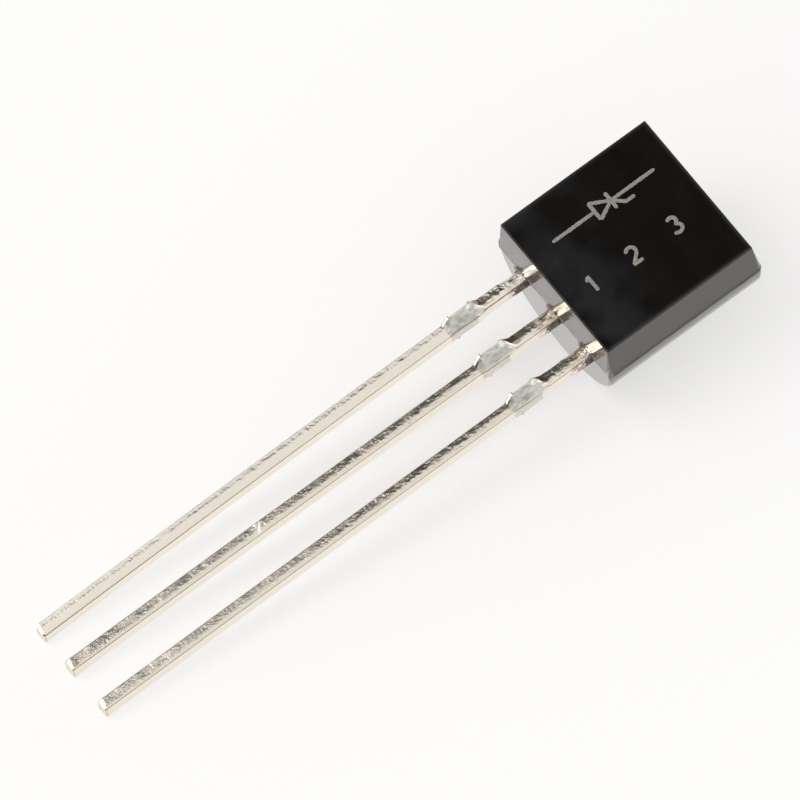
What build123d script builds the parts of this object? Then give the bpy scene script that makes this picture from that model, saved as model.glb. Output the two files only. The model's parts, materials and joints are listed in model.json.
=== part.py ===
from build123d import *
from math import asin, atan2, cos, degrees, hypot, radians, sin, tan
import os

# A small three-lead thyristor in a moulded half-round package, in millimetres. It lies as it
# comes to rest: flat face up, on the heel of its round back and the three lead tips.
# The leads run along -Y, pin 1 is at -X, and the floor is Z = 0.

os.makedirs("parts", exist_ok=True)

# Moulded body: widths and lengths are where its two halves meet, in the parting plane
body_width = 4.43            # half-round back, across the leads
body_length = 4.56           # back, along the leads
back_draft = 1.0             # degrees, the two ends of the back
back_edge_radius = 0.10      # round the two ends of the back
front_width = 4.52
front_length = 4.58
front_depth = 1.14           # parting plane to the flat face
front_draft = 6.5            # degrees, all four sides of the front
front_shift = 0.065          # the mould halves don't quite line up: the front sits towards -X
front_start = 0.012          # and begins this far inside the back's lead end
corner_radius = 0.15         # upright corners of the front
face_edge_radius = 0.03      # round the flat face
ejector_diameter = 1.0       # flat mark that the mould's ejector pin leaves in the back
ejector_depth = 0.08

# Stamped leads: the front face of the strip lies in the parting plane
lead_pitch = 1.27
lead_thickness = 0.42
lead_length = 14.5           # from the body to the cut end
lead_edge_radius = 0.08
leg_width = 0.38             # from the dambar stub to the cut end
neck_width = 0.34            # between the body and the dambar stub
neck_length = 1.25
stub_length = 0.60           # full-width part of the dambar stub
stub_ramp = 0.20             # each end of the stub, where it runs into the lead
stub_left = 0.29             # the trimming punch leaves more on the -X side
stub_right = 0.21
coin_depth = 0.03            # how far the stub's front face is pressed in

# Lead frame inside the body
embed_length = 0.40          # a lead keeps its neck this far into the body
post_width = 0.84            # bond posts of the gate and cathode leads
post_length = 0.75
post_corner = 0.10
pad_gap = 0.32               # between the posts and the die pad
pad_width = 2.50
pad_length = 2.10
lock_hole_diameter = 0.44    # the moulding grips the die pad through it
lock_hole_margin = 0.13      # between the hole and the pad's far edge

# Chip on the die pad
die_size = 1.20
die_thickness = 0.22
die_margin = 0.22            # between the die and the pad's near edge
attach_thickness = 0.03
attach_margin = 0.04         # solder that shows round the die
metal_thickness = 0.01       # contact areas on top of the die
metal_margin = 0.08          # bare silicon round and between the contact areas
gate_contact = 0.34

# Bond wires
gate_wire = 0.05             # diameters
cathode_wire = 0.10
loop_height = 0.30           # above the die
ball_ratio = 2.2             # ball bond and stitch, over the wire's diameter
stitch_length_ratio = 3.0
stitch_inset = 0.22          # from the post's far edge to the stitch

back_radius = body_width / 2
pin_x = {"anode": -lead_pitch, "gate": 0.0, "cathode": lead_pitch}


def rest_pitch():
    """Angle between the leads and the floor, with heel and lead tips both on it.

    Seen from the side, the heel is an arc of back_edge_radius and the tip is a sharp corner.
    """
    along, below = heel_centre()
    reach = along + lead_length
    drop = -below - lead_thickness
    return asin(back_edge_radius / hypot(reach, drop)) + atan2(drop, reach)


def heel_centre():
    """Centre of the rounded heel: (along the leads from the body's end, out of the flat face)."""
    below = back_edge_radius - back_radius
    slope = radians(back_draft)
    along = back_edge_radius / cos(slope) - below * tan(slope)
    return along, below


pitch = rest_pitch()
heel_y, heel_z = heel_centre()
tip_reach = lead_length * cos(pitch)
top_reach = (body_length - heel_y) * cos(pitch) - heel_z * sin(pitch) + back_edge_radius

# The parting plane: local X across the leads, local Y from the lead end to the body's top,
# local Z out of the flat face. Its origin is where the middle lead leaves the body. The front
# reaches further to -X than the back to +X, so the origin stands a little to +X of the middle.
lead_plane = Plane(
    origin=(
        (front_shift + front_width / 2 - body_width / 2) / 2,
        (tip_reach - top_reach) / 2,
        back_edge_radius - heel_y * sin(pitch) - heel_z * cos(pitch),
    ),
    x_dir=(1, 0, 0),
    z_dir=(0, -sin(pitch), cos(pitch)),
)
outward = Axis(lead_plane.origin, lead_plane.z_dir)


def square_to_leads(distance):
    """Section plane at this distance from the body's lead end; its Y is out of the flat face."""
    return Plane(
        origin=lead_plane.from_local_coords((0, distance, 0)),
        x_dir=lead_plane.x_dir,
        z_dir=-lead_plane.y_dir,
    )


def lead_section(distance, centre, left, right, sink=0.0):
    """One rounded section of a lead; sink lowers its front face."""
    height = lead_thickness - sink
    with BuildSketch(square_to_leads(distance)) as section:
        with Locations((centre + (right - left) / 2, -sink - height / 2)):
            RectangleRounded(left + right, height, lead_edge_radius)
    return section.sketch


def lead_shape(centre):
    """Neck, dambar stub and leg of one lead, as one loft from inside the body to the cut end."""
    neck = neck_width / 2
    leg = leg_width / 2
    stub_start = -neck_length - stub_ramp
    stub_end = stub_start - stub_length
    loft(
        [
            lead_section(embed_length, centre, neck, neck),
            lead_section(-neck_length, centre, neck, neck),
            lead_section(stub_start, centre, stub_left, stub_right, coin_depth),
            lead_section(stub_end, centre, stub_left, stub_right, coin_depth),
            lead_section(stub_end - stub_ramp, centre, leg, leg),
            lead_section(-lead_length, centre, leg, leg),
        ],
        ruled=True,
    )


# Anode lead with the die pad: one stamping
pad_left = pin_x["anode"] - post_width / 2
pad_near = embed_length + post_length + pad_gap
pad_far = pad_near + pad_length
pad_middle = pad_left + pad_width / 2

with BuildPart() as anode_lead:
    lead_shape(pin_x["anode"])
    with BuildSketch(lead_plane):
        with Locations((pin_x["anode"], embed_length)):
            Rectangle(post_width, pad_near - embed_length, align=(Align.CENTER, Align.MIN))
        with Locations((pad_left, pad_near)):
            Rectangle(pad_width, pad_length, align=Align.MIN)
        with Locations((pad_middle, pad_far - lock_hole_margin - lock_hole_diameter / 2)):
            Circle(lock_hole_diameter / 2, mode=Mode.SUBTRACT)
    extrude(amount=-lead_thickness)


def post_lead(centre):
    """A lead that ends in a bond post."""
    with BuildPart() as lead:
        lead_shape(centre)
        with BuildSketch(lead_plane):
            with Locations((centre, embed_length + post_length / 2)):
                RectangleRounded(post_width, post_length, post_corner)
        extrude(amount=-lead_thickness)
    return lead


gate_lead = post_lead(pin_x["gate"])
cathode_lead = post_lead(pin_x["cathode"])

# Solder and die on the pad
die_middle = (pad_middle, pad_near + die_margin + die_size / 2)

with BuildPart() as die_attach:
    with BuildSketch(lead_plane):
        with Locations(die_middle):
            Rectangle(die_size + 2 * attach_margin, die_size + 2 * attach_margin)
    extrude(amount=attach_thickness)

die_top = attach_thickness + die_thickness
contact_top = die_top + metal_thickness
contact_corner = (
    die_middle[0] - die_size / 2 + metal_margin,
    die_middle[1] - die_size / 2 + metal_margin,
)
cathode_contact = die_size - 2 * metal_margin

with BuildPart() as thyristor_die:
    with BuildSketch(lead_plane.offset(attach_thickness)):
        with Locations(die_middle):
            Rectangle(die_size, die_size)
    extrude(amount=die_thickness)
    # The gate contact fills one corner, and the cathode contact is the L round it
    with BuildSketch(lead_plane.offset(die_top)):
        with Locations(contact_corner):
            Rectangle(cathode_contact, cathode_contact, align=Align.MIN)
            Rectangle(
                gate_contact + metal_margin,
                gate_contact + metal_margin,
                align=Align.MIN,
                mode=Mode.SUBTRACT,
            )
            Rectangle(gate_contact, gate_contact, align=Align.MIN)
    extrude(amount=metal_thickness)


def bond_wire(diameter, start, end):
    """A wire looped from a ball bond on the die to a stitch on a post.

    start and end are places in the lead plane. The loop stands in the upright plane through
    both: straight up from the ball, round one bend, and down to the post in one slope.
    """
    span = hypot(end[0] - start[0], end[1] - start[1])
    heading = Vector(end[0] - start[0], end[1] - start[1], 0).normalized()
    across = lead_plane.x_dir * heading.X + lead_plane.y_dir * heading.Y
    loop_plane = Plane(
        origin=lead_plane.from_local_coords((start[0], start[1], 0)),
        x_dir=across,
        z_dir=across.cross(lead_plane.z_dir),
    )
    top = contact_top + loop_height
    # The slope runs on a little below the post's face, where the split cuts it flush
    overrun = 1 + diameter / top
    with BuildPart() as wire:
        with BuildLine(loop_plane):
            FilletPolyline(
                (0, contact_top),
                (0, top),
                (span * overrun, top - top * overrun),
                radius=loop_height / 2,
            )
        with BuildSketch(lead_plane.offset(contact_top)):
            with Locations(start):
                Circle(diameter / 2)
        sweep()
        with BuildSketch(lead_plane.offset(contact_top)):
            with Locations(start):
                Circle(diameter * ball_ratio / 2)
        extrude(amount=diameter / 2)
        with BuildSketch(lead_plane):
            with Locations(Location((*end, 0), (0, 0, degrees(atan2(heading.Y, heading.X))))):
                SlotOverall(diameter * stitch_length_ratio, diameter * ball_ratio)
        extrude(amount=diameter / 2)
        split(bisect_by=lead_plane, keep=Keep.TOP)
    return wire


stitch_y = embed_length + post_length - stitch_inset
gate_bond_wire = bond_wire(
    gate_wire,
    (contact_corner[0] + gate_contact / 2, contact_corner[1] + gate_contact / 2),
    (pin_x["gate"] - post_width / 4, stitch_y),
)

cathode_bond_wire = bond_wire(
    cathode_wire,
    (die_middle[0] + gate_contact / 2, die_middle[1] + gate_contact / 2),
    (pin_x["cathode"], stitch_y),
)

# Moulded body, cast round everything above
sealed = {
    "anode_lead": anode_lead,
    "gate_lead": gate_lead,
    "cathode_lead": cathode_lead,
    "die_attach": die_attach,
    "thyristor_die": thyristor_die,
    "gate_bond_wire": gate_bond_wire,
    "cathode_bond_wire": cathode_bond_wire,
}

with BuildPart() as epoxy_body:
    # Half-round back, cut to length by its two drafted ends
    with BuildSketch(square_to_leads(0)):
        Circle(back_radius)
        with Locations((0, back_radius)):
            Rectangle(body_width, 2 * back_radius, mode=Mode.SUBTRACT)
    extrude(amount=-body_length)
    with BuildSketch(lead_plane):
        with Locations((0, body_length / 2)):
            Rectangle(2 * body_width, body_length)
    extrude(amount=-body_width, taper=back_draft, mode=Mode.INTERSECT)
    fillet(edges().filter_by(GeomType.LINE, reverse=True), back_edge_radius)
    with BuildSketch(lead_plane.offset(ejector_depth - back_radius)):
        with Locations((0, body_length / 2)):
            Circle(ejector_diameter / 2)
    extrude(amount=-2 * ejector_depth, mode=Mode.SUBTRACT)
    # Straight-sided front with the flat face
    with BuildSketch(lead_plane):
        with Locations((-front_shift, front_start + front_length / 2)):
            RectangleRounded(front_width, front_length, corner_radius)
    extrude(amount=front_depth, taper=front_draft)
    fillet(faces().sort_by(outward)[-1].edges(), face_edge_radius)
    for piece in sealed.values():
        add(piece.part, mode=Mode.SUBTRACT)

for label, piece in {"epoxy_body": epoxy_body, **sealed}.items():
    piece.part.label = label
    export_step(piece.part, f"parts/{label}.step")

print(f"rests with its leads at {degrees(pitch):.2f} degrees to the floor")
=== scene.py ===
import json
import math

import bpy
import numpy as np
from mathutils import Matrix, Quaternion, Vector


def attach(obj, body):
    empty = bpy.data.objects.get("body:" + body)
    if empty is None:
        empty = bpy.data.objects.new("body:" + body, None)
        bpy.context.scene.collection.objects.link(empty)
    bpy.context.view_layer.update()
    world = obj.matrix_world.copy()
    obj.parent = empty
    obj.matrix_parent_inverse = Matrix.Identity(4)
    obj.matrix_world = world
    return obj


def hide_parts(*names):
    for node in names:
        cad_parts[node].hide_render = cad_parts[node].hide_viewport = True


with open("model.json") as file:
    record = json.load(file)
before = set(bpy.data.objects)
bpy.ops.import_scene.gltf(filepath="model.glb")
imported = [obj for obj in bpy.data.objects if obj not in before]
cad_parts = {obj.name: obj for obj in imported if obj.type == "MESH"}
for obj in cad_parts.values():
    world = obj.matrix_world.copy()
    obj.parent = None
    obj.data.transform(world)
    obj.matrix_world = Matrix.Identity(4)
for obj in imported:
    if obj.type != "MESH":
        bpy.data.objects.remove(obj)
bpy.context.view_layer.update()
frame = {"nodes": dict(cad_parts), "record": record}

mm = 0.001

# Lead frame: v across the leads, u along them into the body, n out of the flat face, all in mm.
# Its origin is where the middle lead leaves the body, on the plane where the mould halves meet.
stamping = {
    "leadLength": 14.5,          # from the body to the cut end
    "thickness": 0.42,
    "pitch": 1.27,
}
mounts = {m["name"]: m for m in frame["record"]["mounts"]}
acrossLeads = np.array([1.0, 0.0, 0.0])
alongLeads = -np.array(mounts["leads"]["axis"])
outOfFace = np.array(mounts["flat_front"]["axis"])
leadExit = np.array(mounts["leads"]["pos_m"]) + mm * (
    stamping["leadLength"] * alongLeads + stamping["thickness"] / 2 * outOfFace)


def fromLeadFrame(v, u, n):
    # point = exit + v * across + u * along + n * outward, millimetres in, metres out
    v, u, n = np.broadcast_arrays(v, u, n)
    axes = np.array([acrossLeads, alongLeads, outOfFace])
    return leadExit + mm * (np.stack([v, u, n], axis=-1) @ axes)


def skin(grid, caps=True, loop=False, marks=None):
    # Rows of the grid run along the piece and columns go round it and join up. Face (i, j) is
    # the quad between rows i, i + 1 and columns j, j + 1. A cap is a fan from an end row to its
    # middle, and a loop joins the last row to the first instead.
    rows, columns = grid.shape[:2]
    index = np.arange(rows * columns).reshape(rows, columns)
    after = np.roll(index, -1, axis=1)
    if loop:
        index, after = (np.concatenate([part, part[:1]]) for part in (index, after))
    quads = np.stack([index[:-1], after[:-1], after[1:], index[1:]], axis=-1).reshape(-1, 4)
    points = grid.reshape(-1, 3)
    marks = {key: np.broadcast_to(m, grid.shape[:2]).reshape(-1)
             for key, m in (marks or {}).items()}
    fans = np.zeros((0, 3), int)
    if caps and not loop:
        for rim, nextRim in ((after[0], index[0]), (index[-1], after[-1])):
            hub = np.full(columns, len(points))   # number of the new middle point
            fans = np.concatenate([fans, np.stack([hub, rim, nextRim], axis=-1)])
            points = np.concatenate([points, points[rim].mean(axis=0)[None]])
            marks = {key: np.append(m, m[rim].mean()) for key, m in marks.items()}
    # The sum over every triangle of a . (b x c) is six times the volume; below zero the skin is
    # inside out
    triangles = np.concatenate([quads[:, [0, 1, 2]], quads[:, [0, 2, 3]], fans])
    a, b, c = (points[triangles[:, k]] - points.mean(axis=0) for k in range(3))
    if (a * np.cross(b, c)).sum() < 0:
        quads, fans = quads[:, ::-1], fans[:, ::-1]
    return points, quads, fans, marks


def makePiece(name, skins, material, replaced=None):
    # One object from one or more closed skins, in place in its mesh, on the part's only body
    starts = np.cumsum([0] + [len(points) for points, *_ in skins])
    faces = []
    for start, (_, quads, fans, _) in zip(starts, skins):
        faces += (quads + start).tolist() + (fans + start).tolist()
    mesh = bpy.data.meshes.new(name)
    mesh.from_pydata(np.concatenate([points for points, *_ in skins]).tolist(), [], faces)
    mesh.shade_smooth()
    for key in skins[0][3]:
        values = np.concatenate([marks[key] for *_, marks in skins]).astype(np.float32)
        mesh.attributes.new(key, "FLOAT", "POINT").data.foreach_set("value", values)
    mesh.materials.append(material)
    piece = bpy.data.objects.new(name, mesh)
    bpy.context.scene.collection.objects.link(piece)
    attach(piece, "root")
    if replaced:
        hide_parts(replaced)
    print(name, "made,", len(faces), "faces")
    return piece


def ease(x):
    # 0 below 0, 1 above 1, and x^3 (6x^2 - 15x + 10) between, which has no kink in slope or bend
    x = np.clip(x, 0, 1)
    return x ** 3 * (x * (6 * x - 15) + 10)


def rise(x, start, length):
    # 0 up to start, 1 from start + length on, ease() between them
    return ease((x - start) / length)


def hump(x, middle, width):
    # 1 at the middle, falling off to both sides as exp(-(distance / width) ^ 2)
    return np.exp(-((x - middle) / width) ** 2)


def softRamp(x, soft):
    # soft * log(1 + exp(x / soft)): 0 well below zero, x well above it, rounded between them
    return soft * np.logaddexp(0, x / soft)


def unevenness(a, b, seed, roundB=0):
    # Random heights from -1 to 1 on a grid of unit cells, blended across each cell by ease().
    # roundB is the number of cells after which it repeats along b, to close round a section.
    heights = np.random.default_rng(seed).uniform(-1, 1, (211, roundB or 197))
    cellA, cellB = np.floor(a).astype(int), np.floor(b).astype(int)
    shareA, shareB = ease(a - cellA), ease(b - cellB)

    def corner(stepA, stepB):
        return heights[(cellA + stepA) % heights.shape[0], (cellB + stepB) % heights.shape[1]]

    near = corner(0, 0) * (1 - shareA) + corner(1, 0) * shareA
    far = corner(0, 1) * (1 - shareA) + corner(1, 1) * shareA
    return near * (1 - shareB) + far * shareB


# Materials

def startMaterial(name):
    material = bpy.data.materials.new(name)
    material.use_nodes = True
    nodes, links = material.node_tree.nodes, material.node_tree.links
    shader = nodes["Principled BSDF"]
    return material, nodes, links, shader


def objectNoise(nodes, links, size, detail=2.0, roughness=0.5, stretch=(1, 1, 1)):
    # Noise with cells of about this size in mm, on Object coordinates
    place = nodes.new("ShaderNodeTexCoord")
    mapping = nodes.new("ShaderNodeMapping")
    mapping.inputs["Scale"].default_value = [1 / (size * mm * s) for s in stretch]
    noise = nodes.new("ShaderNodeTexNoise")
    noise.inputs["Scale"].default_value = 1.0
    noise.inputs["Detail"].default_value = detail
    noise.inputs["Roughness"].default_value = roughness
    links.new(place.outputs["Object"], mapping.inputs["Vector"])
    links.new(mapping.outputs["Vector"], noise.inputs["Vector"])
    return noise.outputs["Fac"]


def remap(nodes, links, source, low, high, fromLow=0.3, fromHigh=0.7):
    # fromLow to fromHigh becomes low to high; noise keeps mostly within 0.3 to 0.7
    spread = nodes.new("ShaderNodeMapRange")
    ranges = {"From Min": fromLow, "From Max": fromHigh, "To Min": low, "To Max": high}
    for key, value in ranges.items():
        spread.inputs[key].default_value = value
    links.new(source, spread.inputs["Value"])
    return spread.outputs["Result"]


def blendColours(nodes, links, factor, first, second):
    # Each is a colour or a socket. A Mix node's inputs 6 and 7 are its two colours.
    mix = nodes.new("ShaderNodeMix")
    mix.data_type = "RGBA"
    for socket, value in ((mix.inputs[6], first), (mix.inputs[7], second)):
        if isinstance(value, tuple):
            socket.default_value = (*value, 1)
        else:
            links.new(value, socket)
    links.new(factor, mix.inputs[0])
    return mix.outputs[2]


def relief(nodes, links, height, depth, shader):
    bump = nodes.new("ShaderNodeBump")
    bump.inputs["Strength"].default_value = 1.0
    bump.inputs["Distance"].default_value = depth * mm
    links.new(height, bump.inputs["Height"])
    links.new(bump.outputs["Normal"], shader.inputs["Normal"])


epoxyFinish = {
    "colour": (0.0052, 0.0044, 0.0036),
    "greyer": (0.0076, 0.0070, 0.0064),
    "cloudSize": 0.6,            # mm, like every size, place and height here
    "film": (0.0240, 0.0238, 0.0262),   # painted sheen near the leads: a paler cloudy colour standing in for a reflection on the face
    "sheenFades": (0.2, 2.6),     # over these distances from the lead end
    "sheenCloudSize": 1.3,
    "sheenClouds": (0.42, 0.62),      # noise at which the painted sheen starts and is full
    "roughness": (0.09, 0.13),
    "grain": 0.035,              # mould texture
    "grainDepth": 0.0002,
    "index": 1.45,
    "specular": 0.5,
    "tint": (1.0, 0.90, 0.80),   # warmth of what it reflects
    "coat": 0.62,
    "coatRoughness": 0.08,
    "faceEdge": (1.104, 1.112, 1.1386, 1.1397),   # heights between which the rounding is worn
    "worn": 0.50,                # its roughness there
    "wornSpecular": 0.04,        # and its gloss at the lead end
    "wornReach": (0.20, 0.30),   # how far from the lead end that goes
    "faceMiddle": -0.065,        # the face's middle line, half width and far end
    "faceHalf": 2.130,
    "faceEnd": 4.462,
    "rimSheen": (0.060, 0.055, 0.049),   # rim of the face painted paler: a painted sheen on its edge
    "rimSheenWidth": 0.15,
    "rimSheenFades": 2.5,          # higher keeps it nearer the edge
    "rimSheenFrom": (1.10, 1.13),  # heights over which it comes in
    # Painted reflection: the lead end below the face is painted paler, standing in for the floor it
    # mirrors and lifting the shade there
    "leadEndDust": (0.095, 0.083, 0.075),
    "paintedReflectionTop": (1.09, 1.12),     # heights over which the painted reflection ends below the face
    "paintedReflectionReach": (0.10, 0.16),   # how far from the lead end it goes
}


def combine(nodes, links, operation, first, second):
    # Two values, or a value and a number, into one
    node = nodes.new("ShaderNodeMath")
    node.operation = operation
    links.new(first, node.inputs[0])
    if isinstance(second, bpy.types.NodeSocket):
        links.new(second, node.inputs[1])
    else:
        node.inputs[1].default_value = second
    return node.outputs[0]


def distanceAlong(nodes, links, axis):
    # How far each point lies from the lead exit along an axis of the lead frame, in mm
    place = nodes.new("ShaderNodeTexCoord")
    along = nodes.new("ShaderNodeVectorMath")
    along.operation = "DOT_PRODUCT"
    along.inputs[1].default_value = axis / mm
    links.new(place.outputs["Object"], along.inputs[0])
    return combine(nodes, links, "SUBTRACT", along.outputs["Value"], leadExit @ axis / mm)


def faceRim(nodes, links, height):
    # Mask of the painted sheen on the face's rim: 1 on the edge of the face, 0 from its set width in.
    # It takes the larger of the distances out from the middle line and towards the far end, so the lead
    # end has no rim.
    across = distanceAlong(nodes, links, acrossLeads)
    across = combine(nodes, links, "SUBTRACT", across, epoxyFinish["faceMiddle"])
    across = combine(nodes, links, "ABSOLUTE", across, 0)
    pastSide = combine(nodes, links, "SUBTRACT", across, epoxyFinish["faceHalf"])
    along = distanceAlong(nodes, links, alongLeads)
    pastEnd = combine(nodes, links, "SUBTRACT", along, epoxyFinish["faceEnd"])
    rim = combine(nodes, links, "MAXIMUM", pastSide, pastEnd)
    rim = remap(nodes, links, rim, 0, 1, -epoxyFinish["rimSheenWidth"], 0)
    rim = combine(nodes, links, "POWER", rim, epoxyFinish["rimSheenFades"])
    onFace = remap(nodes, links, height, 0, 1, *epoxyFinish["rimSheenFrom"])
    return combine(nodes, links, "MULTIPLY", rim, onFace)


def mouldedEpoxy(name, leadEndDust):
    material, nodes, links, shader = startMaterial(name)
    height = distanceAlong(nodes, links, outOfFace)
    fromLeadEnd = distanceAlong(nodes, links, alongLeads)

    clouds = objectNoise(nodes, links, epoxyFinish["cloudSize"], detail=3)
    colour = blendColours(nodes, links, remap(nodes, links, clouds, 0, 1),
                          epoxyFinish["colour"], epoxyFinish["greyer"])
    # Painted sheen: paler clouds near the lead end stand in for a reflection on the face
    nearLeads = remap(nodes, links, fromLeadEnd, 1, 0, *epoxyFinish["sheenFades"])
    sheenClouds = objectNoise(nodes, links, epoxyFinish["sheenCloudSize"])
    sheenClouds = remap(nodes, links, sheenClouds, 0, 1, *epoxyFinish["sheenClouds"])
    film = combine(nodes, links, "MULTIPLY", nearLeads, sheenClouds)
    colour = blendColours(nodes, links, film, colour, epoxyFinish["film"])
    # Painted sheen: the face's rim is painted paler, standing in for a highlight on its edge
    rim = faceRim(nodes, links, height)
    colour = blendColours(nodes, links, rim, colour, epoxyFinish["rimSheen"])
    # Painted reflection: paler colour at the lead end below the face, standing in for the floor it
    # mirrors
    belowFace = remap(nodes, links, height, 1, 0, *epoxyFinish["paintedReflectionTop"])
    atLeadEnd = remap(nodes, links, fromLeadEnd, 1, 0, *epoxyFinish["paintedReflectionReach"])
    paintedReflectionShare = combine(nodes, links, "MULTIPLY", belowFace, atLeadEnd)
    colour = blendColours(nodes, links, paintedReflectionShare, colour, leadEndDust)
    links.new(colour, shader.inputs["Base Color"])

    grain = objectNoise(nodes, links, epoxyFinish["grain"], detail=2)
    wearStart, wearFull, wearFade, face = epoxyFinish["faceEdge"]
    worn = combine(nodes, links, "MULTIPLY", remap(nodes, links, height, 0, 1, wearStart, wearFull),
                   remap(nodes, links, height, 1, 0, wearFade, face))
    moulded = remap(nodes, links, grain, *epoxyFinish["roughness"])
    wornRoughness = combine(nodes, links, "MULTIPLY", worn, epoxyFinish["worn"])
    links.new(combine(nodes, links, "MAXIMUM", moulded, wornRoughness), shader.inputs["Roughness"])
    nearEnd = remap(nodes, links, fromLeadEnd, 1, 0, *epoxyFinish["wornReach"])
    wornEnd = combine(nodes, links, "MULTIPLY", worn, nearEnd)
    links.new(remap(nodes, links, wornEnd, epoxyFinish["specular"], epoxyFinish["wornSpecular"], 0, 0.8),
              shader.inputs["Specular IOR Level"])
    links.new(remap(nodes, links, worn, epoxyFinish["coat"], 0, 0, 1), shader.inputs["Coat Weight"])
    shader.inputs["Coat Roughness"].default_value = epoxyFinish["coatRoughness"]
    shader.inputs["IOR"].default_value = epoxyFinish["index"]
    shader.inputs["Coat IOR"].default_value = epoxyFinish["index"]
    shader.inputs["Specular Tint"].default_value = (*epoxyFinish["tint"], 1)
    relief(nodes, links, grain, epoxyFinish["grainDepth"], shader)
    return material


tinFinish = {
    "colour": (0.935, 0.865, 0.765),
    "warmer": (0.935, 0.850, 0.720),
    "cloudSize": 0.35,                # mm
    "fresh": (1.0, 0.930, 0.815),     # least handled
    "roughness": (0.12, 0.22),
    "coined": (0.77, 0.755, 0.670),   # the trimming punch leaves the stub matt
    "coinedGrey": (0.42, 0.42, 0.385),
    "streakSize": 0.08,               # of the greyer places there
    "streakStretch": (1, 2, 1),
    "coinedRoughness": 0.42,
    "coinedMetal": 0.45,
    "cut": (0.90, 0.80, 0.60),        # bare alloy where the leads are cut to length
    "copper": (0.50, 0.31, 0.27),
    "gilt": (0.72, 0.58, 0.26),
    "tarnish": (0.42, 0.31, 0.27),
    "grain": 0.022,
    "grainDepth": 0.0005,
}


def tinPlate():
    material, nodes, links, shader = startMaterial("tin_plate")

    def mark(name):
        attribute = nodes.new("ShaderNodeAttribute")
        attribute.attribute_name = name
        return attribute.outputs["Fac"]

    clouds = objectNoise(nodes, links, tinFinish["cloudSize"], detail=3)
    grain = objectNoise(nodes, links, tinFinish["grain"], detail=3, roughness=0.6)
    colour = blendColours(nodes, links, remap(nodes, links, clouds, 0, 1),
                          tinFinish["colour"], tinFinish["warmer"])
    streaks = objectNoise(nodes, links, tinFinish["streakSize"], detail=3,
                          stretch=tinFinish["streakStretch"])
    milky = blendColours(nodes, links, remap(nodes, links, streaks, 0, 1),
                         tinFinish["coined"], tinFinish["coinedGrey"])
    for name in ("fresh", "copper", "gilt", "tarnish", "cut"):
        colour = blendColours(nodes, links, mark(name), colour, tinFinish[name])
    colour = blendColours(nodes, links, mark("coined"), colour, milky)
    links.new(colour, shader.inputs["Base Color"])
    # A Mix node's inputs 2 and 3 are its two numbers
    rough = nodes.new("ShaderNodeMix")
    links.new(mark("coined"), rough.inputs[0])
    links.new(remap(nodes, links, clouds, *tinFinish["roughness"]), rough.inputs[2])
    rough.inputs[3].default_value = tinFinish["coinedRoughness"]
    links.new(rough.outputs[0], shader.inputs["Roughness"])
    metal = nodes.new("ShaderNodeMix")
    links.new(mark("coined"), metal.inputs[0])
    metal.inputs[2].default_value = 1.0
    metal.inputs[3].default_value = tinFinish["coinedMetal"]
    links.new(metal.outputs[0], shader.inputs["Metallic"])
    relief(nodes, links, grain, tinFinish["grainDepth"], shader)
    return material


mattFinishes = {
    "rough_resin": {"colour": (0.090, 0.074, 0.066), "lighter": (0.440, 0.350, 0.320),
                    "roughness": (0.45, 0.75), "size": 0.08, "depth": 0.002},
    "laser_mark": {"colour": (0.20, 0.185, 0.155), "lighter": (0.36, 0.335, 0.285),
                   "roughness": (0.65, 0.85), "size": 0.05, "depth": 0.002},
}


def mattFinish(name):
    finish = mattFinishes[name]
    material, nodes, links, shader = startMaterial(name)
    clouds = objectNoise(nodes, links, finish["size"], detail=3)
    links.new(blendColours(nodes, links, remap(nodes, links, clouds, 0, 1),
              finish["colour"], finish["lighter"]), shader.inputs["Base Color"])
    links.new(remap(nodes, links, clouds, *finish["roughness"]), shader.inputs["Roughness"])
    relief(nodes, links, clouds, finish["depth"], shader)
    return material


innerFinishes = {
    "matt_solder": {"colour": (0.45, 0.45, 0.46), "darker": (0.30, 0.30, 0.31),
                    "metallic": 1.0, "roughness": (0.35, 0.55), "size": 0.08},
    "polished_silicon": {"colour": (0.16, 0.17, 0.22), "darker": (0.10, 0.11, 0.15),
                         "metallic": 0.6, "roughness": (0.12, 0.20), "size": 0.30},
    "gold_wire": {"colour": (0.92, 0.70, 0.30), "darker": (0.80, 0.56, 0.20),
                  "metallic": 1.0, "roughness": (0.18, 0.30), "size": 0.05},
}


def innerFinish(name):
    finish = innerFinishes[name]
    material, nodes, links, shader = startMaterial(name)
    clouds = objectNoise(nodes, links, finish["size"])
    links.new(blendColours(nodes, links, remap(nodes, links, clouds, 0, 1),
              finish["colour"], finish["darker"]), shader.inputs["Base Color"])
    links.new(remap(nodes, links, clouds, *finish["roughness"]), shader.inputs["Roughness"])
    shader.inputs["Metallic"].default_value = finish["metallic"]
    return material


def dress(node, material):
    meshData = frame["nodes"][node].data
    meshData.materials.clear()
    meshData.materials.append(material)


epoxy = mouldedEpoxy("moulded_epoxy", epoxyFinish["leadEndDust"])
tin = tinPlate()
resin, pale = (mattFinish(name) for name in mattFinishes)
solder, silicon, gold = (innerFinish(name) for name in innerFinishes)
dress("epoxy_body", epoxy)
dress("die_attach", solder)
dress("thyristor_die", silicon)
dress("gate_bond_wire", gold)
dress("cathode_bond_wire", gold)
print("materials made")


# Leads: neck, dambar stub and leg, with the post or die pad that the moulding hides

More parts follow.
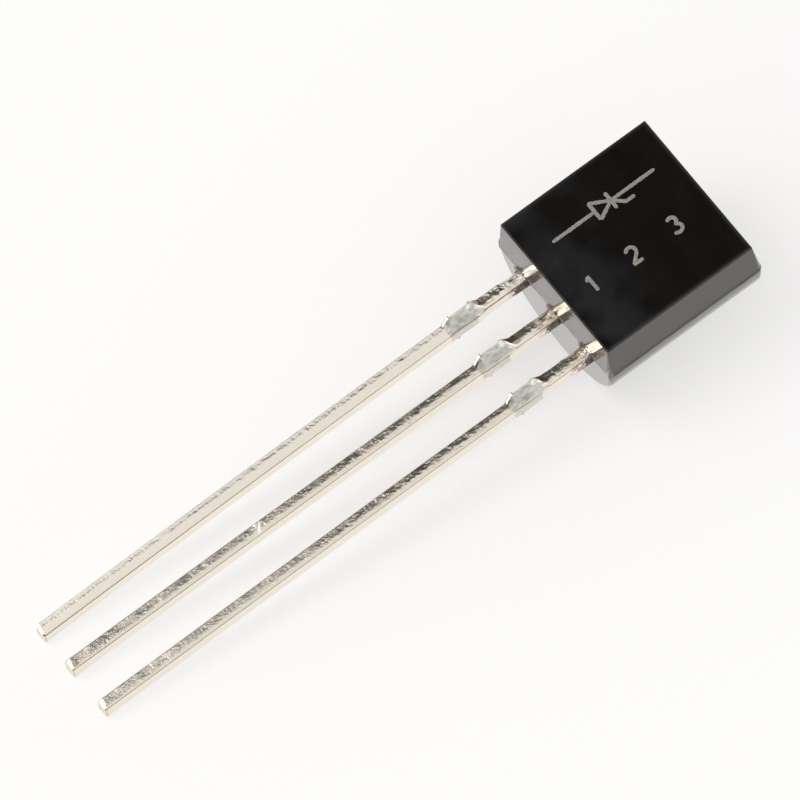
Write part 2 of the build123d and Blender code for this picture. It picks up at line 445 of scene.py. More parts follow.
lead = {                         # in mm; places along it count from the body, below 0 outside
    "rowStep": 0.015,
    "backRadius": 0.035,
    "neckRight": 0.172,
    "mouthRadius": 0.110,        # of the front's -v edge at the body
    "mouth": (-0.70, 0.30),      # that edge starts to round here and takes this length
    "falls": ((-14.5, 0.065), (-9.0, 0.12), (-2.4, 0.13)),   # slope of the front past its ridge
    "soft": 0.020,               # rounding of that ridge
    "frontEnds": (-0.30, 0.25),  # its shape dies away from here, over this length
    "lipWidth": 0.055,
    "crease": (-0.018, 0.060),   # place across the front, and width
    "blotchSize": 0.30,
    "waveSlope": 0.050,          # how far the plated surface leans, in radians
    "waveSize": 0.055,
    "waveGirth": 1.45,           # round the section
    "handled": (-12.0, 7.0),     # all of it up to here, then less over this length
    "postStart": 0.4,            # the moulding hides it from just before here
    "postHalf": 0.42,
    "postEnd": 1.15,
    "padSpan": (-0.42, 2.08),    # die pad, either side of its own lead
    "padStart": 1.47,
    "padEnd": 3.57,
    "stub": {
        "turns": (-2.34, -2.08, -1.52, -1.47, -1.42, -1.25),   # where its outline turns
        "left": 0.295,
        "right": 0.190,
        "swell": (0.015, -0.020),     # the left edge's last steps out and in
        "edgeRadius": 0.160,          # of the front's -v edge
        "taperRadius": 0.025,         # the same where it narrows towards the tip
        "moreShear": 0.030,
        "shearedSlope": 0.28,         # of the cut-off edge there
        "burr": 0.035,                # where the dambar was cut off
        "burrs": ((-2.08, 0.035, 1.0), (-1.40, 0.030, 0.7)),   # place, width and share
    },
    "coin": {
        "depth": 0.030,
        "shallower": 0.65,            # share of the depth lost on the +v side towards the tip
        "rim": (0.095, 0.16),         # beyond this v it falls off at this slope
        "slant": 0.55,                # of its body end
        "bodyEnd": (-1.45, 0.13),     # that end starts here on the +v side, with this length
        "bodyGentle": (0.18, 0.25),   # how much sooner and longer it is on the -v side
        "tipEnd": (-2.08, 0.14),      # and the other end
        "tipGentle": 0.16,            # how much longer that is on the +v side
    },
    "nick": {
        "slant": 0.8,
        "lean": 0.075,
        "scrape": (-0.04, 0.13),      # place beside the groove, and width
        "depth": 0.0042,
        "width": 0.030,
    },
    "tip": {
        "rolledFrom": 0.030,          # least length of the rolled rim
        "rolledSlope": 0.32,
        "rolledSoft": 0.005,
        "trim": 0.045,                # length over which the cut squeezes the end
        "squeeze": (0.10, 0.04),      # share of the width and of the thickness
        "bendPower": 1.7,
        "gilt": (0.012, 0.016),       # bright line behind the rim: place and width
        "giltShare": 0.8,
        "copper": (0.5, 0.05),        # bare edge on the +v side: share and length
    },
    "wear": {                         # pairs: where it starts to come in, and over what length
        "patchSize": 0.16,
        "coinedEdge": (0.13, 0.02),   # the coined finish ends before the +v edge
        "coinedSide": 0.25,           # how coined the stub's -v side looks
        "trimmedSide": 0.45,          # and its +v side
        "edgeDull": 0.26,             # how dull the -v edge is
        "edge": (0.08, 0.06),         # width of that, and of its blur
        "edgeFrom": (2.4, 2.0),       # this far from the body
        "rootDull": (-0.65, 0.2),
        "blush": (-0.32, 0.2),
        "copperSide": (0.02, 0.08),
        "gilt": (-0.15, 0.08),
        "fresh": (-1.4, 0.1),
        "tarnish": (-1.62, 0.12),
        "tarnishEnds": (-1.20, 0.2),
    },
}
# Each lead: its half widths, the radii of its front edges, rollover at -v and shear at +v, and
# (place, value) tables of where its front's ridge runs and how far it leans. bend is how far the
# tip is off to the +v side; the words for wear and finish are shares, mostly from 0 to 1.
leadPins = {
    "anode": {
        "centre": -1, "node": "anode_lead", "seed": 11, "bend": 0.145,
        "dull": 0.60, "bleed": 0.40, "legLeft": 0.174, "neckLeft": 0.190, "fresh": 0.9,
        "legRight": 0.191, "rollover": 0.022, "shear": 0.084, "lip": 0.0065, "nick": None,
        "ridges": ((-14.5, 0.0), (-2.4, -0.02), (-1.2, 0.03)),
        "leans": ((-14.5, 0.036), (-8.0, 0.044), (-2.4, 0.050), (-1.2, -0.010)),
        "waves": 0.95, "scuffed": 1.1, "copper": 0.25, "gilt": 0.2,
        "crease": 0.0020, "haze": 0.0, "blush": 0.10, "rolledIn": 0.055,
    },
    "gate": {
        "centre": 0, "node": "gate_lead", "seed": 23, "bend": 0.038,
        "dull": 0.55, "bleed": 0.36, "legLeft": 0.169, "neckLeft": 0.202, "fresh": 0.0,
        "legRight": 0.175, "rollover": 0.045, "shear": 0.050, "lip": 0.0, "nick": -8.85,
        "ridges": ((-14.5, 0.10), (-11.0, 0.06), (-6.5, 0.055), (-2.4, 0.015)),
        "leans": ((-14.5, -0.035), (-12.5, -0.006), (-10.0, 0.004), (-2.4, -0.012), (-1.2, -0.03)),
        "waves": 1.0, "scuffed": 0.2, "copper": 0.6, "gilt": 0.8,
        "crease": 0.0, "haze": 0.03, "blush": 0.45, "rolledIn": 0.100,
    },
    "cathode": {
        "centre": 1, "node": "cathode_lead", "seed": 37, "bend": 0.075,
        "dull": 0.45, "bleed": 0.24, "legLeft": 0.165, "neckLeft": 0.208, "fresh": 0.0,
        "legRight": 0.172, "rollover": 0.045, "shear": 0.050, "lip": 0.0, "nick": None,
        "ridges": ((-14.5, 0.10), (-11.0, 0.07), (-6.5, 0.065), (-2.4, 0.015)),
        "leans": ((-14.5, -0.012), (-12.5, 0.000), (-10.0, 0.005), (-2.4, -0.012), (-1.2, -0.03)),
        "waves": 1.0, "scuffed": 0.2, "copper": 1.0, "gilt": 0.5,
        "crease": 0.0, "haze": 0.08, "blush": 0.15, "rolledIn": 0.100,
    },
}


def roundedSection(across, upright, corner):
    # Unit rounded rectangle, anticlockwise from the right end of the front face: (x, y) runs
    # from -1 to 1 over the straight sides, and (nx, ny) is the outward direction
    t = {k: np.linspace(0, 1, k, endpoint=False) for k in (across, upright, corner)}
    ones = {k: np.ones(k) for k in t}
    x = np.concatenate([1 - 2 * t[across], -ones[corner], -ones[upright], -ones[corner],
                        2 * t[across] - 1, ones[corner], ones[upright], ones[corner]])
    y = np.concatenate([ones[across], ones[corner], 1 - 2 * t[upright], -ones[corner],
                        -ones[across], -ones[corner], 2 * t[upright] - 1, ones[corner]])
    quarter = t[corner]
    turn = np.concatenate([ones[across], 1 + quarter, 2 * ones[upright], 2 + quarter,
                           3 * ones[across], 3 + quarter, 4 * ones[upright], 4 + quarter])
    return x, y, np.cos(turn * math.pi / 2), np.sin(turn * math.pi / 2)


def leadSection(left, right, shape, rollover, shear, proud=0.0):
    # v = left edge + left radius + share across * straight width + nx * radius, n likewise from
    # the back; each radius goes from the front corner's to the back corner's down its side
    x, y, nx, ny = shape
    across, up = (x + 1) / 2, (y + 1) / 2
    back, thick = lead["backRadius"], stamping["thickness"]
    frontRadius = rollover + across * (shear - rollover)
    leftRadius = back + up * (rollover - back)
    rightRadius = back + up * (shear - back)
    radius = back + up * (frontRadius - back)
    v = leftRadius - left + across * (left + right - leftRadius - rightRadius) + nx * (radius + proud)
    n = back - thick + up * (thick - back - frontRadius) + ny * (radius + proud)
    return v, n


def leadRows(name):
    # Places along the lead: close together up to the body, then only where the outline turns
    end, step, hide = stamping["leadLength"], lead["rowStep"], lead["postStart"]
    hidden = [hide, hide + 0.001, lead["postEnd"]]
    if name == "anode":
        hidden = [hide, hide + 0.001, lead["padStart"], lead["padStart"] + 0.001, lead["padEnd"]]
    rows = [[-end, 0.006 - end], np.arange(step - end, hide, step), hidden]
    return np.concatenate(rows)[:, None]


def leadOutline(pin, u):
    # Half widths to the left and right of the lead's middle, straight from turn to turn
    stub, post, hide = lead["stub"], lead["postHalf"], lead["postStart"]
    neck, leg, wide = pin["neckLeft"], pin["legLeft"], stub["left"]
    out, back = stub["swell"]
    turns = [-stamping["leadLength"], *stub["turns"], hide, hide + 0.001,
             lead["padStart"], lead["padStart"] + 0.001]
    left = [leg, leg, wide, wide, wide + out, wide + back, neck, neck, post, post,
            -lead["padSpan"][0]]
    right = 2 * [pin["legRight"]] + 4 * [stub["right"]] + 2 * [lead["neckRight"]]
    right += [post, post, lead["padSpan"][1]]
    return np.interp(u, turns, left), np.interp(u, turns, right)


def plainFront(pin, u, v, outer):
    # Height = lip * exp(-distance from the -v edge) - lean * that distance - fall * softRamp
    # past the ridge + a faint raised crease, higher in blotches
    leans, ridge, fall = (np.interp(u, *zip(*table))
                          for table in (pin["leans"], pin["ridges"], lead["falls"]))
    fromEdge = v + pin["legLeft"]
    plain = pin["lip"] * np.exp(-fromEdge / lead["lipWidth"]) - leans * fromEdge
    plain = plain - fall * softRamp(v - ridge, lead["soft"])
    size = lead["blotchSize"]
    blotches = 0.58 + 0.45 * unevenness(u / size + 400, v / size + 400, pin["seed"] + 7)
    blotches = blotches + 0.45 * outer + 0.5 * rise(-u, 13.0, 0.8)
    return plain + pin["crease"] * blotches * hump(v, *lead["crease"])


def coinedPad(u, v):
    # 1 on the coined pad, 0 off it: one rise at either end. The punch pressed it in steeply at
    # the body end on the +v side and gently on the other, and the other way round at the end
    # towards the tip.
    coin = lead["coin"]
    bodyStart, bodyLength = coin["bodyEnd"]
    sooner, longer = coin["bodyGentle"]
    gentle = rise(-v, 0.02, 0.15)
    slanted = u - coin["slant"] * (v + 0.1)
    atBody = rise(slanted, bodyStart - sooner * gentle, bodyLength + longer * gentle)
    tipStart, tipLength = coin["tipEnd"]
    tipLength = tipLength + coin["tipGentle"] * rise(v, -0.12, 0.14)
    return rise(u, tipStart - tipLength, tipLength) * (1 - atBody)


def frontRelief(pin, u, v, areas):
    # Height of the front face: the plain one, the coined pad pressed into it, and the slope
    # where the narrowing stub's -v edge is sheared off towards the tip
    coin, pad, sheared = lead["coin"], areas["pad"], areas["sheared"]
    rimStart, rimSlope = coin["rim"]
    plain = plainFront(pin, u, v, areas["outer"]) * (1 - rise(u, *lead["frontEnds"]))
    shallower = 1 - coin["shallower"] * rise(v, -0.10, 0.15) * rise(-u, 1.70, 0.30)
    rim = rimSlope * softRamp(v - rimStart, lead["soft"])
    raised = plain * (1 - pad) - (coin["depth"] * shallower + rim) * pad
    slope = lead["stub"]["shearedSlope"] * np.maximum(coin["tipEnd"][0] - u, 0)
    return raised * (1 - sheared) - sheared * (coin["depth"] + slope)


def nickDepth(place, u, v):
    # A scrape that turned the face a little towards +v, with a groove beside it
    nick = lead["nick"]
    fromNick = u - place + nick["slant"] * v
    scrape = nick["lean"] * (v + 0.02) * hump(fromNick, *nick["scrape"])
    return scrape + nick["depth"] * (1 - rise(v, 0.02, 0.08)) * hump(fromNick, 0, nick["width"])


def platingNoise(pin, u, columns):
    # The waves are two sizes of unevenness along and round the lead; patches of wear, from 0
    # to 1, are a third and coarser one
    size = lead["waveSize"]
    cells = round(lead["waveGirth"] / size)
    roundAt = np.linspace(0, cells, columns, endpoint=False)[None, :] + 0 * u
    wave = unevenness(u / size + 400, roundAt, pin["seed"], cells)
    wave = wave + 0.9 * unevenness(u / size / 2.3 + 400, roundAt / 2, pin["seed"] + 1, cells // 2)
    patchAt = u / lead["wear"]["patchSize"] + 400
    patch = unevenness(patchAt, roundAt * 0.8, pin["seed"] + 5) * 0.5 + 0.5
    return wave, patch


def leadMarks(pin, u, v, nx, ny, areas, patch, cutBack):
    # How much of each finish lies on each point, from 0 to 1
    wear, tip = lead["wear"], lead["tip"]
    shown, nearBody, onStub = areas["shown"], areas["nearBody"], areas["onStub"]
    pad, sheared, outer = areas["pad"], areas["sheared"], areas["outer"]
    fromTip = u + stamping["leadLength"]
    onFront, flatFront, onRight = ny > 0.3, ny > 0.5, nx > 0.3

    coined = rise(pad, 0, 0.2) * (1 - rise(v, *wear["coinedEdge"])) * (1 - sheared)
    coined = coined * np.maximum(np.clip(3 * ny, 0, 1), wear["coinedSide"] * (nx < -0.3))
    inset, blur = wear["edge"]
    alongEdge = rise(-v, pin["legLeft"] - inset, blur) * rise(-u, *wear["edgeFrom"])
    dulled = (0.6 + 0.8 * patch) * (pin["haze"] * outer + wear["edgeDull"] * alongEdge)
    rootDull = pin["dull"] * rise(patch, 0.20, 0.6) * rise(u, *wear["rootDull"])
    dulled = dulled + rootDull * shown
    blush = pin["blush"] * rise(u, *wear["blush"]) * onFront
    copper = np.maximum(onRight, 0.8 * onFront * rise(-v, *wear["copperSide"]))
    copper = copper * nearBody * rise(patch, 0.15, 0.3) * pin["copper"]
    tipCopper, tipLength = tip["copper"]
    copper = copper + tipCopper * (fromTip < tipLength) * onRight
    atStub = rise(u, *wear["tarnish"]) * (1 - rise(u, *wear["tarnishEnds"]))
    gilt = nearBody * rise(-patch, -0.85, 0.6) * pin["gilt"] * flatFront
    gilt = gilt * rise(v, *wear["gilt"]) * (1 - blush)
    untouched = [pin["fresh"], rise(u, *wear["fresh"]) * rise(v, 0, 0.03), sheared]
    return {
        "coined": coined + wear["trimmedSide"] * onStub * (nx > 0.5) + dulled * onFront,
        "cut": np.maximum(1 - rise(fromTip, 0, 0.010),
                          onFront * rise(cutBack - fromTip, -0.0075, 0.015)),
        "fresh": shown * flatFront * np.maximum.reduce(np.broadcast_arrays(*untouched)),
        "copper": copper + blush,
        "tarnish": atStub * flatFront * (1 - rise(v, 0.02, 0.04)) * rise(patch, 0.2, 0.3),
        "gilt": gilt + tip["giltShare"] * onFront * hump(fromTip - cutBack, *tip["gilt"]),
    }


def leadPiece(name, pin):
    # A rounded rectangle carried along u. Its left and right edges are functions of u, its front
    # face is a function of v and u, and waves are pushed in along the outward direction.
    stub, tip = lead["stub"], lead["tip"]
    end, middle = stamping["leadLength"], stamping["thickness"] / 2
    shape = tuple(part[None, :] for part in roundedSection(22, 10, 6))
    x, y, nx, ny = shape
    u = leadRows(name)
    left, right = leadOutline(pin, u)
    wider = left - pin["legLeft"]
    shown = (u < lead["postStart"] - 0.01) * 1.0
    areas = {                    # each 1 inside the area and 0 outside it
        "shown": shown,
        "outer": 1 - rise(u, *lead["handled"]),
        "nearBody": rise(u, *lead["mouth"]) * shown,
        "onStub": rise(wider, 0, 0.05) * rise(-u, 1.45, 0.05) * (u > -2.3),
        "tapers": rise(wider, 0, 0.02) * rise(-u, 2.0, 0.06),
    }
    rollover = pin["rollover"] + areas["nearBody"] * (lead["mouthRadius"] - pin["rollover"])
    rollover = rollover + areas["onStub"] * (stub["edgeRadius"] - pin["rollover"])
    rollover = rollover + areas["tapers"] * (stub["taperRadius"] - rollover)
    shear = pin["shear"] + stub["moreShear"] * areas["onStub"]
    v, n = leadSection(left, right, shape, rollover, shear)

    areas["pad"] = coinedPad(u, v)
    areas["sheared"] = (1 - rise(v + left, 0.055, 0.03)) * areas["tapers"]
    front = np.maximum(ny, 0) * shown
    n = n + front * frontRelief(pin, u, v, areas)
    if pin["nick"]:
        n = n - front * nickDepth(pin["nick"], u, v)
    # Burrs low on the +v side, at both ends of the stub
    burr = stub["burr"] * sum(share * hump(u, place, width) for place, width, share in stub["burrs"])
    low = np.maximum(nx, 0) * (1 - y) / 2
    v = v + burr * low
    n = n - 0.6 * burr * low

    # Waves, scaled so that their slopes come to waveSlope. They only go inwards: 1.9 is as high
    # as the two sizes reach together.
    wave, patch = platingNoise(pin, u, x.shape[1])
    calmer = 0.5 * areas["pad"] + 0.5 * areas["outer"] + 0.25 * rise(-u, 13.4, 0.4)
    rough = pin["waves"] * (1 + pin["scuffed"] * rise(u, -1.3, 0.5) - calmer)
    push = shown * rough * lead["waveSlope"] * lead["waveSize"] * 0.42 * (wave - 1.9)
    v, n = v + nx * push, n + ny * push

    # The cut end: its rim rolled in by the shear, most of all at the front's -v corner. 0.17 is
    # about half the leg's width.
    cutBack = tip["rolledFrom"] + pin["rolledIn"] * np.clip((0.17 - v) / 0.34, 0, 1)
    rolled = tip["rolledSlope"] * softRamp(cutBack - u - end, tip["rolledSoft"])
    n = n - np.maximum(ny, 0) * rolled
    squeezed = 1 - rise(u, -end, tip["trim"])
    narrower, thinner = tip["squeeze"]
    v = v * (1 - narrower * squeezed)
    n = (n + middle) * (1 - thinner * squeezed) - middle
    v = v + pin["bend"] * (np.maximum(-u, 0) / end) ** tip["bendPower"]

    marks = leadMarks(pin, u, v, nx, ny, areas, patch, cutBack)
    grid = fromLeadFrame(v + pin["centre"] * stamping["pitch"], u, n)
    makePiece("plated_" + name + "_lead", [skin(grid, marks=marks)], tin, pin["node"])


for name, pin in leadPins.items():
    leadPiece(name, pin)


# Resin that the mould let out: a film on each lead, lumps beside it and a line round the body

bleed = {
    "film": 0.010,               # thickness on the lead, mm
    "reach": {"left": 0.12, "front": 0.035},   # down the lead; the right side has its own
    "backReach": 0.15,           # how much further behind
    "ragged": 0.16,
    "grain": (0.07, 0.03),       # coarse and fine size of its ragged edge
    "span": (-0.75, 0.12),       # the sleeve that carries it, into the body
    "sunk": 0.016,               # how deep that dips where there is no resin
    "swell": 0.18,               # how uneven the lumps are
    "lumps": (                   # (v, u, n) from the lead's middle, then radii
        ((-0.245, -0.010, -0.030), (0.060, 0.045, 0.034)),
        ((-0.180, -0.060, -0.080), (0.025, 0.050, 0.060)),
        ((0.180, -0.060, -0.240), (0.026, 0.090, 0.120)),
        ((0.340, 0.004, -0.020), (0.075, 0.016, 0.014)),
    ),
}


def lump(middle, radii, seed):
    # point = middle + radii * direction(latitude, longitude) * (1 + swell * unevenness)
    latitude = np.radians(np.linspace(-84, 84, 15))[:, None]
    longitude = np.radians(np.linspace(0, 360, 22, endpoint=False))[None, :]
    swell = unevenness(latitude * 2 + 40, longitude / math.pi * 4, seed, 8)
    swell = 1 + bleed["swell"] * swell
    v = middle[0] + radii[0] * swell * np.cos(latitude) * np.cos(longitude)
    u = middle[1] + radii[1] * swell * np.cos(latitude) * np.sin(longitude)
    n = middle[2] + radii[2] * swell * np.sin(latitude)
    return skin(fromLeadFrame(v, u, n))


def bleedPiece(name, pin):
    # A sleeve on the neck that stands proud by film where the resin is, and dips under the tin
    # elsewhere. The resin reaches a ragged distance from the body on each side.
    shape = tuple(part[None, :] for part in roundedSection(18, 14, 5))
    x, _, nx, ny = shape
    u = np.linspace(*bleed["span"], 76)[:, None]
    neckLeft, neckRight = (np.full_like(u, half) for half in (pin["neckLeft"], lead["neckRight"]))
    cells = 22
    roundAt = np.linspace(0, cells, x.shape[1], endpoint=False)[None, :] + 0 * u
    coarse, fine = bleed["grain"]
    rag = unevenness(u / coarse + 60, roundAt, pin["seed"] + 8, cells)
    rag = rag + 0.6 * unevenness(u / fine + 60, roundAt * 2, pin["seed"] + 9, 2 * cells)
    reach = bleed["reach"]
    length = reach["front"] + (pin["bleed"] - reach["front"]) * np.maximum(nx, 0) ** 2
    length = length + (reach["left"] - reach["front"]) * np.maximum(-nx, 0) ** 2
    length = length + bleed["backReach"] * np.maximum(-ny, 0)
    there = rise(u + length + bleed["ragged"] * rag * 0.7, 0, 0.025)
    proud = bleed["film"] * (there * (1.2 + 0.3 * rag) - 1.1) - bleed["sunk"] * (1 - there)
    rollover = pin["rollover"] + rise(u, *lead["mouth"]) * (lead["mouthRadius"] - pin["rollover"])
    v, n = leadSection(neckLeft, neckRight, shape, rollover, pin["shear"], proud)
    centre = pin["centre"] * stamping["pitch"]
    skins = [skin(fromLeadFrame(v + centre, u, n))]
    for k, (middle, radii) in enumerate(bleed["lumps"]):
        skins.append(lump((middle[0] + centre, *middle[1:]), radii, pin["seed"] + 20 + k))
    makePiece("resin_bleed_" + name, skins, resin)


for name, pin in leadPins.items():
    bleedPiece(name, pin)


flash = {
    "halfWidth": 2.26,           # the front half's outline where it meets the back half
    "middle": (-0.065, 2.302),
    "halfLength": 2.29,
    "corner": 0.15,
    "proud": (0.013, 0.0195),    # how far it stands out, between its thinnest and widest places
    "height": 0.060,
    "cornerFill": 0.060,         # how much further it reaches at the lead end's +v corner
    "reach": 2.2145,             # it keeps within the back half's radius on the +v side
    "blots": 0.020,              # how much further it stands out in places at the lead end
    "grain": (0.12, 0.045),      # coarse and fine size of its ragged edge
    "heightGrain": 0.2,
    "paintedReflection": (0.20, 0.182, 0.168),   # painted reflection: paler than the body at the lead end
}


def partingFlash():
    # A thin ragged line of resin where the halves meet, its corner cut off slantwise: a section
    # carried round a rounded rectangle, whose width and height are noise along the distance s
    middleV, middleU = flash["middle"]
    corner = flash["corner"]
    x, y, nx, ny = roundedSection(150, 150, 12)
    v0 = middleV + x * (flash["halfWidth"] - corner) + nx * corner
    u0 = middleU + y * (flash["halfLength"] - corner) + ny * corner
    s = np.cumsum(np.hypot(np.diff(v0, append=v0[:1]), np.diff(u0, append=u0[:1])))
    coarse, fine = flash["grain"]
    rag = unevenness(s / coarse, 0 * s + 3.5, 71) + 0.7 * unevenness(s / fine, 0 * s + 9.5, 72)
    # It ends where a lead passes under it
    offLead = np.min([np.abs(v0 - pin["centre"] * stamping["pitch"])
                      for pin in leadPins.values()], axis=0)
    leadEnd = ease(-ny * 1.2)
    clear = np.where(leadEnd > 0, rise(offLead, 0.19, 0.05), 1)
    narrow, wide = flash["proud"]
    proud = narrow + (wide - narrow) * np.clip(0.5 + 0.5 * rag, 0, 1)
    filled = leadEnd * (nx > 0) * 4 * (nx * ny) ** 2
    blot = leadEnd * rise(rag, 0.75, 0.4) * (np.abs(v0) < 1.9)
    proud = proud + flash["blots"] * blot + flash["cornerFill"] * filled
    proud = np.where(nx < -0.3, -0.002, proud) * clear - 0.004 * (1 - clear)
    uneven = unevenness(s / flash["heightGrain"], 0 * s + 5.5, 73)
    height = flash["height"] * (1 + 0.35 * uneven)
    height = height * (1 - 0.6 * blot) * clear * (1 + 3 * filled)
    # The slope runs on into the body, so that its shading stays even where it comes out
    inside = -0.05 + 0 * s
    under = -0.004 + 0 * s
    outward = [inside, -2.0 * proud - 0.004, -1.5 * proud - 0.003, proud, proud, inside]
    outward = np.stack(outward)
    level = np.stack([3.0 * height, 3.0 * height, 2.5 * height, 0 * s, under, under])
    v = np.minimum(v0 + nx * outward, flash["reach"])
    line = skin(fromLeadFrame(v, u0 + ny * outward, level), loop=True)
    makePiece("parting_flash", [line], mouldedEpoxy("flash_epoxy", flash["paintedReflection"]))


partingFlash()


# Pin legend on the flat face: the circuit symbol over the numbers of its pins

legend = {
    "face": 1.14,
    "stroke": 0.100,             # width, mm
    "rise": 0.004,
    "rows": ((-0.78, 0.52), (0.65, 0.44)),   # v of the base line and height
    "start": 0.835,
    "length": 3.05,
    "numberAt": (0.0, 1.18, 2.42),
    "ragged": 0.16,              # share by which the width of a stroke varies
}


def arc(a, b, radiusA, radiusB, first, last):
    # (a, b) + (radiusA * cos(turn), radiusB * sin(turn)), from first to last in degrees
    turn = np.radians(np.linspace(first, last, 40))
    return np.stack([a + radiusA * np.cos(turn), b + radiusB * np.sin(turn)], axis=-1)


def strokeSkin(path):
    # A flat bead: at each place on the path a half width to either side and a rise above the
    # face, w * cos(t) and rise * sin(t), both drawn in to nothing at the two ends
    steps = np.hypot(*np.diff(path, axis=0).T)
    s = np.concatenate([[0], np.cumsum(steps)])
    even = np.linspace(0, s[-1], max(12, int(s[-1] / 0.02)))
    a, b = (np.interp(even, s, path[:, k]) for k in (0, 1))
    da, db = np.gradient(a, even), np.gradient(b, even)
    size = np.hypot(da, db)
    half = legend["stroke"] / 2
    nearEnd = np.clip(np.minimum(even, even[-1] - even) / half, 0.02, 1)
    width = half * np.sqrt(1 - (1 - nearEnd) ** 2)
    ragged = unevenness(even / 0.05 + a.sum(), 0 * even + 2.5, 91)
    width = width * (1 + legend["ragged"] * ragged)
    t = np.linspace(0, 2 * math.pi, 10, endpoint=False)[None, :]
    sideways = width[:, None] * np.cos(t)
    v = a[:, None] + db[:, None] / size[:, None] * sideways
    u = b[:, None] - da[:, None] / size[:, None] * sideways
    n = legend["face"] + legend["rise"] * np.sin(t) * np.sqrt(nearEnd)[:, None]
    return skin(fromLeadFrame(v, u, n))


def pinLegend():
    # Marks are drawn with a to the right and b up, both in letter heights. On the face the rows
    # read along the leads: u = start + a * height, v = base line - b * height.
    length = legend["length"] / legend["rows"][0][1]
    middle = length / 2
    symbol = [
        [(0, 0.5), (middle - 0.5, 0.5)],
        [(middle - 0.5, 0), (middle - 0.5, 1), (middle + 0.42, 0.5), (middle - 0.5, 0)],
        [(middle + 0.42, 0), (middle + 0.42, 1)],
        [(middle + 0.42, 0.5), (length, 0.5)],
        [(middle + 0.42, 0.5), (middle + 0.95, 0.02), (middle + 1.45, 0.02)],
    ]
    numbers = [
        [np.array([(0.02, 0.78), (0.26, 1.0), (0.26, 0.0)])],
        [np.concatenate([arc(0.30, 0.70, 0.28, 0.30, 165, -35), [(0.0, 0.0), (0.62, 0.0)]])],
        [arc(0.28, 0.76, 0.25, 0.24, 150, -90), arc(0.28, 0.26, 0.30, 0.26, 90, -155)],
    ]
    drawn = [(np.array(path), 0, 0) for path in symbol]
    for at, paths in zip(legend["numberAt"], numbers):
        drawn += [(path, 1, at) for path in paths]
    skins = []
    for path, row, at in drawn:
        base, height = legend["rows"][row]
        placed = np.stack([base - path[:, 1] * height,
                           legend["start"] + at + path[:, 0] * height], axis=-1)
        skins.append(strokeSkin(placed))
    makePiece("pin_legend", skins, pale)


pinLegend()


# Studio: pale floor with painted shade round the root of the leads, one large soft box overhead on the
# camera's side, dim room

studio = {
    "floorSize": 4,              # metres
    "floorColour": (0.990, 0.968, 0.945),
    "floorRoughness": 0.9,
    "glowColour": (1.0, 0.995, 0.990),
    "floorGlow": 0.75,           # share of plain floor colour that reflections see
    "paintedShadeDepth": 0.59,       # painted shade: how much less of it the camera sees at the root of the leads, so the floor darkens there
    "paintedShadeAt": (-0.0008, 0.0035, 0.0),
    "paintedShadeSize": 0.0035,      # metres
    "paintedShadeStretch": (1.0, 0.385, 0.0),
    "paintedShadePower": 1.4,
    "boxHeight": 0.150,          # soft box, metres
    "boxSpan": (-0.040, 0.200),  # its near and far edge towards the camera
    "boxWidth": 0.60,
    "boxRadiance": 0.75,
    "keyDirection": (-0.360, -0.432, 0.824),
    "keyDistance": 0.130,
    "keySize": 0.075,
    "keyRadiance": 4.6,
    "room": 0.034,
    "horizon": 0.95,
    "horizonFades": (0.10, 0.45),   # height at which it is brightest and at which it is gone
    "daylightSide": 0.40,
}
cameraSetup = {
    "azimuth": 51.70,
    "elevation": 62.54,
    "roll": 1.84,
    "distance": 0.600,
    "lens": 1133.1,
    "aim": (-0.711, -4.134, -0.513),   # in the lead frame, mm
    "clip": (0.01, 10),
}


def floorShare(nodes, links):
    # Painted shade on the floor. Seen plainly: share = 1 - depth / (1 + (distance / size) ^ power),
    # where distance is taken from the root of the leads and counts for less along them, so the floor
    # darkens there. Mirrored: the same all over.
    path = nodes.new("ShaderNodeLightPath")
    place = nodes.new("ShaderNodeTexCoord")
    stretched = nodes.new("ShaderNodeVectorMath")
    stretched.operation = "MULTIPLY_ADD"
    stretch, at = studio["paintedShadeStretch"], studio["paintedShadeAt"]
    stretched.inputs[1].default_value = stretch
    stretched.inputs[2].default_value = [-c * s for c, s in zip(at, stretch)]
    links.new(place.outputs["Object"], stretched.inputs[0])
    distance = nodes.new("ShaderNodeVectorMath")
    distance.operation = "LENGTH"
    links.new(stretched.outputs["Vector"], distance.inputs[0])
    deep = combine(nodes, links, "DIVIDE", distance.outputs["Value"], studio["paintedShadeSize"])
    deep = combine(nodes, links, "POWER", deep, studio["paintedShadePower"])
    deep = combine(nodes, links, "POWER", combine(nodes, links, "ADD", deep, 1), -1)
    plain = combine(nodes, links, "MULTIPLY", deep, -studio["paintedShadeDepth"])
    plain = combine(nodes, links, "SUBTRACT", plain, -1)
    seen = combine(nodes, links, "MULTIPLY", plain, path.outputs["Is Camera Ray"])
    mirrored = combine(nodes, links, "MAXIMUM", path.outputs["Is Glossy Ray"],
                       path.outputs["Is Transmission Ray"])
    mirrored = combine(nodes, links, "MULTIPLY", mirrored, studio["floorGlow"])
    return combine(nodes, links, "MAXIMUM", seen, mirrored)


def makeFloor():
    bpy.ops.mesh.primitive_plane_add(size=studio["floorSize"])
    floor = bpy.context.object
    floor.name = "studio_floor"
    material, nodes, links, shader = startMaterial("pale_floor")
    shader.inputs["Base Color"].default_value = (*studio["floorColour"], 1)
    shader.inputs["Roughness"].default_value = studio["floorRoughness"]
    shader.inputs["Specular IOR Level"].default_value = 0.0
    glow = nodes.new("ShaderNodeEmission")
    glow.inputs["Color"].default_value = (*studio["glowColour"], 1)
    mix = nodes.new("ShaderNodeMixShader")
    links.new(floorShare(nodes, links), mix.inputs[0])
    links.new(shader.outputs[0], mix.inputs[1])
    links.new(glow.outputs[0], mix.inputs[2])
    links.new(mix.outputs[0], nodes["Material Output"].inputs["Surface"])
    floor.data.materials.append(material)


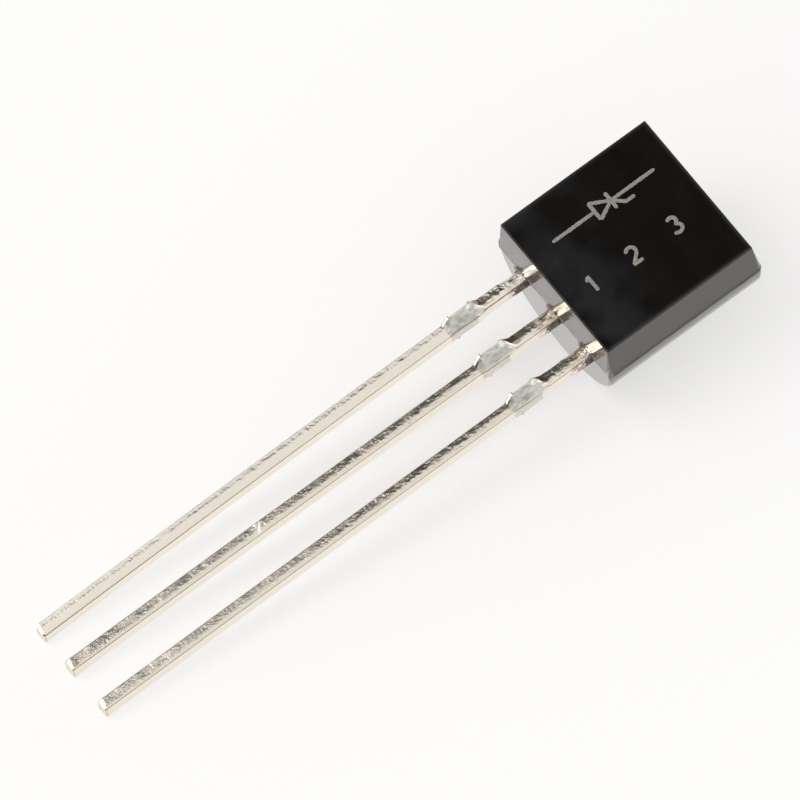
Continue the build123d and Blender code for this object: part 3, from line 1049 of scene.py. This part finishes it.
def makeKeyLight():
    direction = Vector(studio["keyDirection"]).normalized()
    light = bpy.data.lights.new("key_light", "AREA")
    light.size = studio["keySize"]
    light.energy = studio["keyRadiance"] * math.pi * light.size ** 2
    key = bpy.data.objects.new("key_light", light)
    key.location = direction * studio["keyDistance"]
    key.rotation_euler = direction.to_track_quat("Z", "Y").to_euler()
    key.visible_camera = False
    bpy.context.scene.collection.objects.link(key)


def makeSoftBox():
    near, far = studio["boxSpan"]
    azimuth = math.radians(cameraSetup["azimuth"])
    towardsCamera = Vector((math.sin(azimuth), -math.cos(azimuth), 0))
    light = bpy.data.lights.new("soft_box", "AREA")
    light.shape = "RECTANGLE"
    light.size, light.size_y = studio["boxWidth"], far - near
    light.energy = studio["boxRadiance"] * math.pi * light.size * light.size_y
    box = bpy.data.objects.new("soft_box", light)
    box.location = towardsCamera * (near + far) / 2 + Vector((0, 0, studio["boxHeight"]))
    box.rotation_euler = (0, 0, azimuth)
    box.visible_camera = False
    bpy.context.scene.collection.objects.link(box)


def makeRoom():
    world = bpy.data.worlds.new("room")
    world.use_nodes = True
    nodes, links = world.node_tree.nodes, world.node_tree.links
    direction = nodes.new("ShaderNodeTexCoord")
    split = nodes.new("ShaderNodeSeparateXYZ")
    links.new(direction.outputs["Generated"], split.inputs[0])
    fade = nodes.new("ShaderNodeMapRange")
    fade.interpolation_type = "SMOOTHSTEP"
    # Bright towards the horizon, and further up on the -X side, where the daylight comes from
    height = nodes.new("ShaderNodeMath")
    height.operation = "MULTIPLY_ADD"
    height.inputs[1].default_value = studio["daylightSide"]
    links.new(split.outputs["X"], height.inputs[0])
    links.new(split.outputs["Z"], height.inputs[2])
    bright, gone = studio["horizonFades"]
    ranges = {"From Min": bright, "From Max": gone,
              "To Min": studio["horizon"], "To Max": studio["room"]}
    for key, value in ranges.items():
        fade.inputs[key].default_value = value
    links.new(height.outputs[0], fade.inputs["Value"])
    links.new(fade.outputs[0], nodes["Background"].inputs["Strength"])
    nodes["Background"].inputs["Color"].default_value = (1, 1, 1, 1)
    bpy.context.scene.world = world


def makeCamera():
    azimuth, elevation = (math.radians(cameraSetup[k]) for k in ("azimuth", "elevation"))
    back = Vector((math.sin(azimuth) * math.cos(elevation),
                   -math.cos(azimuth) * math.cos(elevation), math.sin(elevation)))
    data = bpy.data.cameras.new("camera")
    data.lens = cameraSetup["lens"]
    data.clip_start, data.clip_end = cameraSetup["clip"]
    camera = bpy.data.objects.new("camera", data)
    camera.location = Vector(fromLeadFrame(*cameraSetup["aim"])) + back * cameraSetup["distance"]
    camera.rotation_mode = "QUATERNION"
    roll = Quaternion((0, 0, 1), math.radians(cameraSetup["roll"]))
    camera.rotation_quaternion = (-back).to_track_quat("-Z", "Y") @ roll
    bpy.context.scene.collection.objects.link(camera)
    bpy.context.scene.camera = camera


makeFloor()
makeSoftBox()
makeKeyLight()
makeRoom()
makeCamera()
bpy.context.scene.view_settings.view_transform = "Standard"
print("studio set")
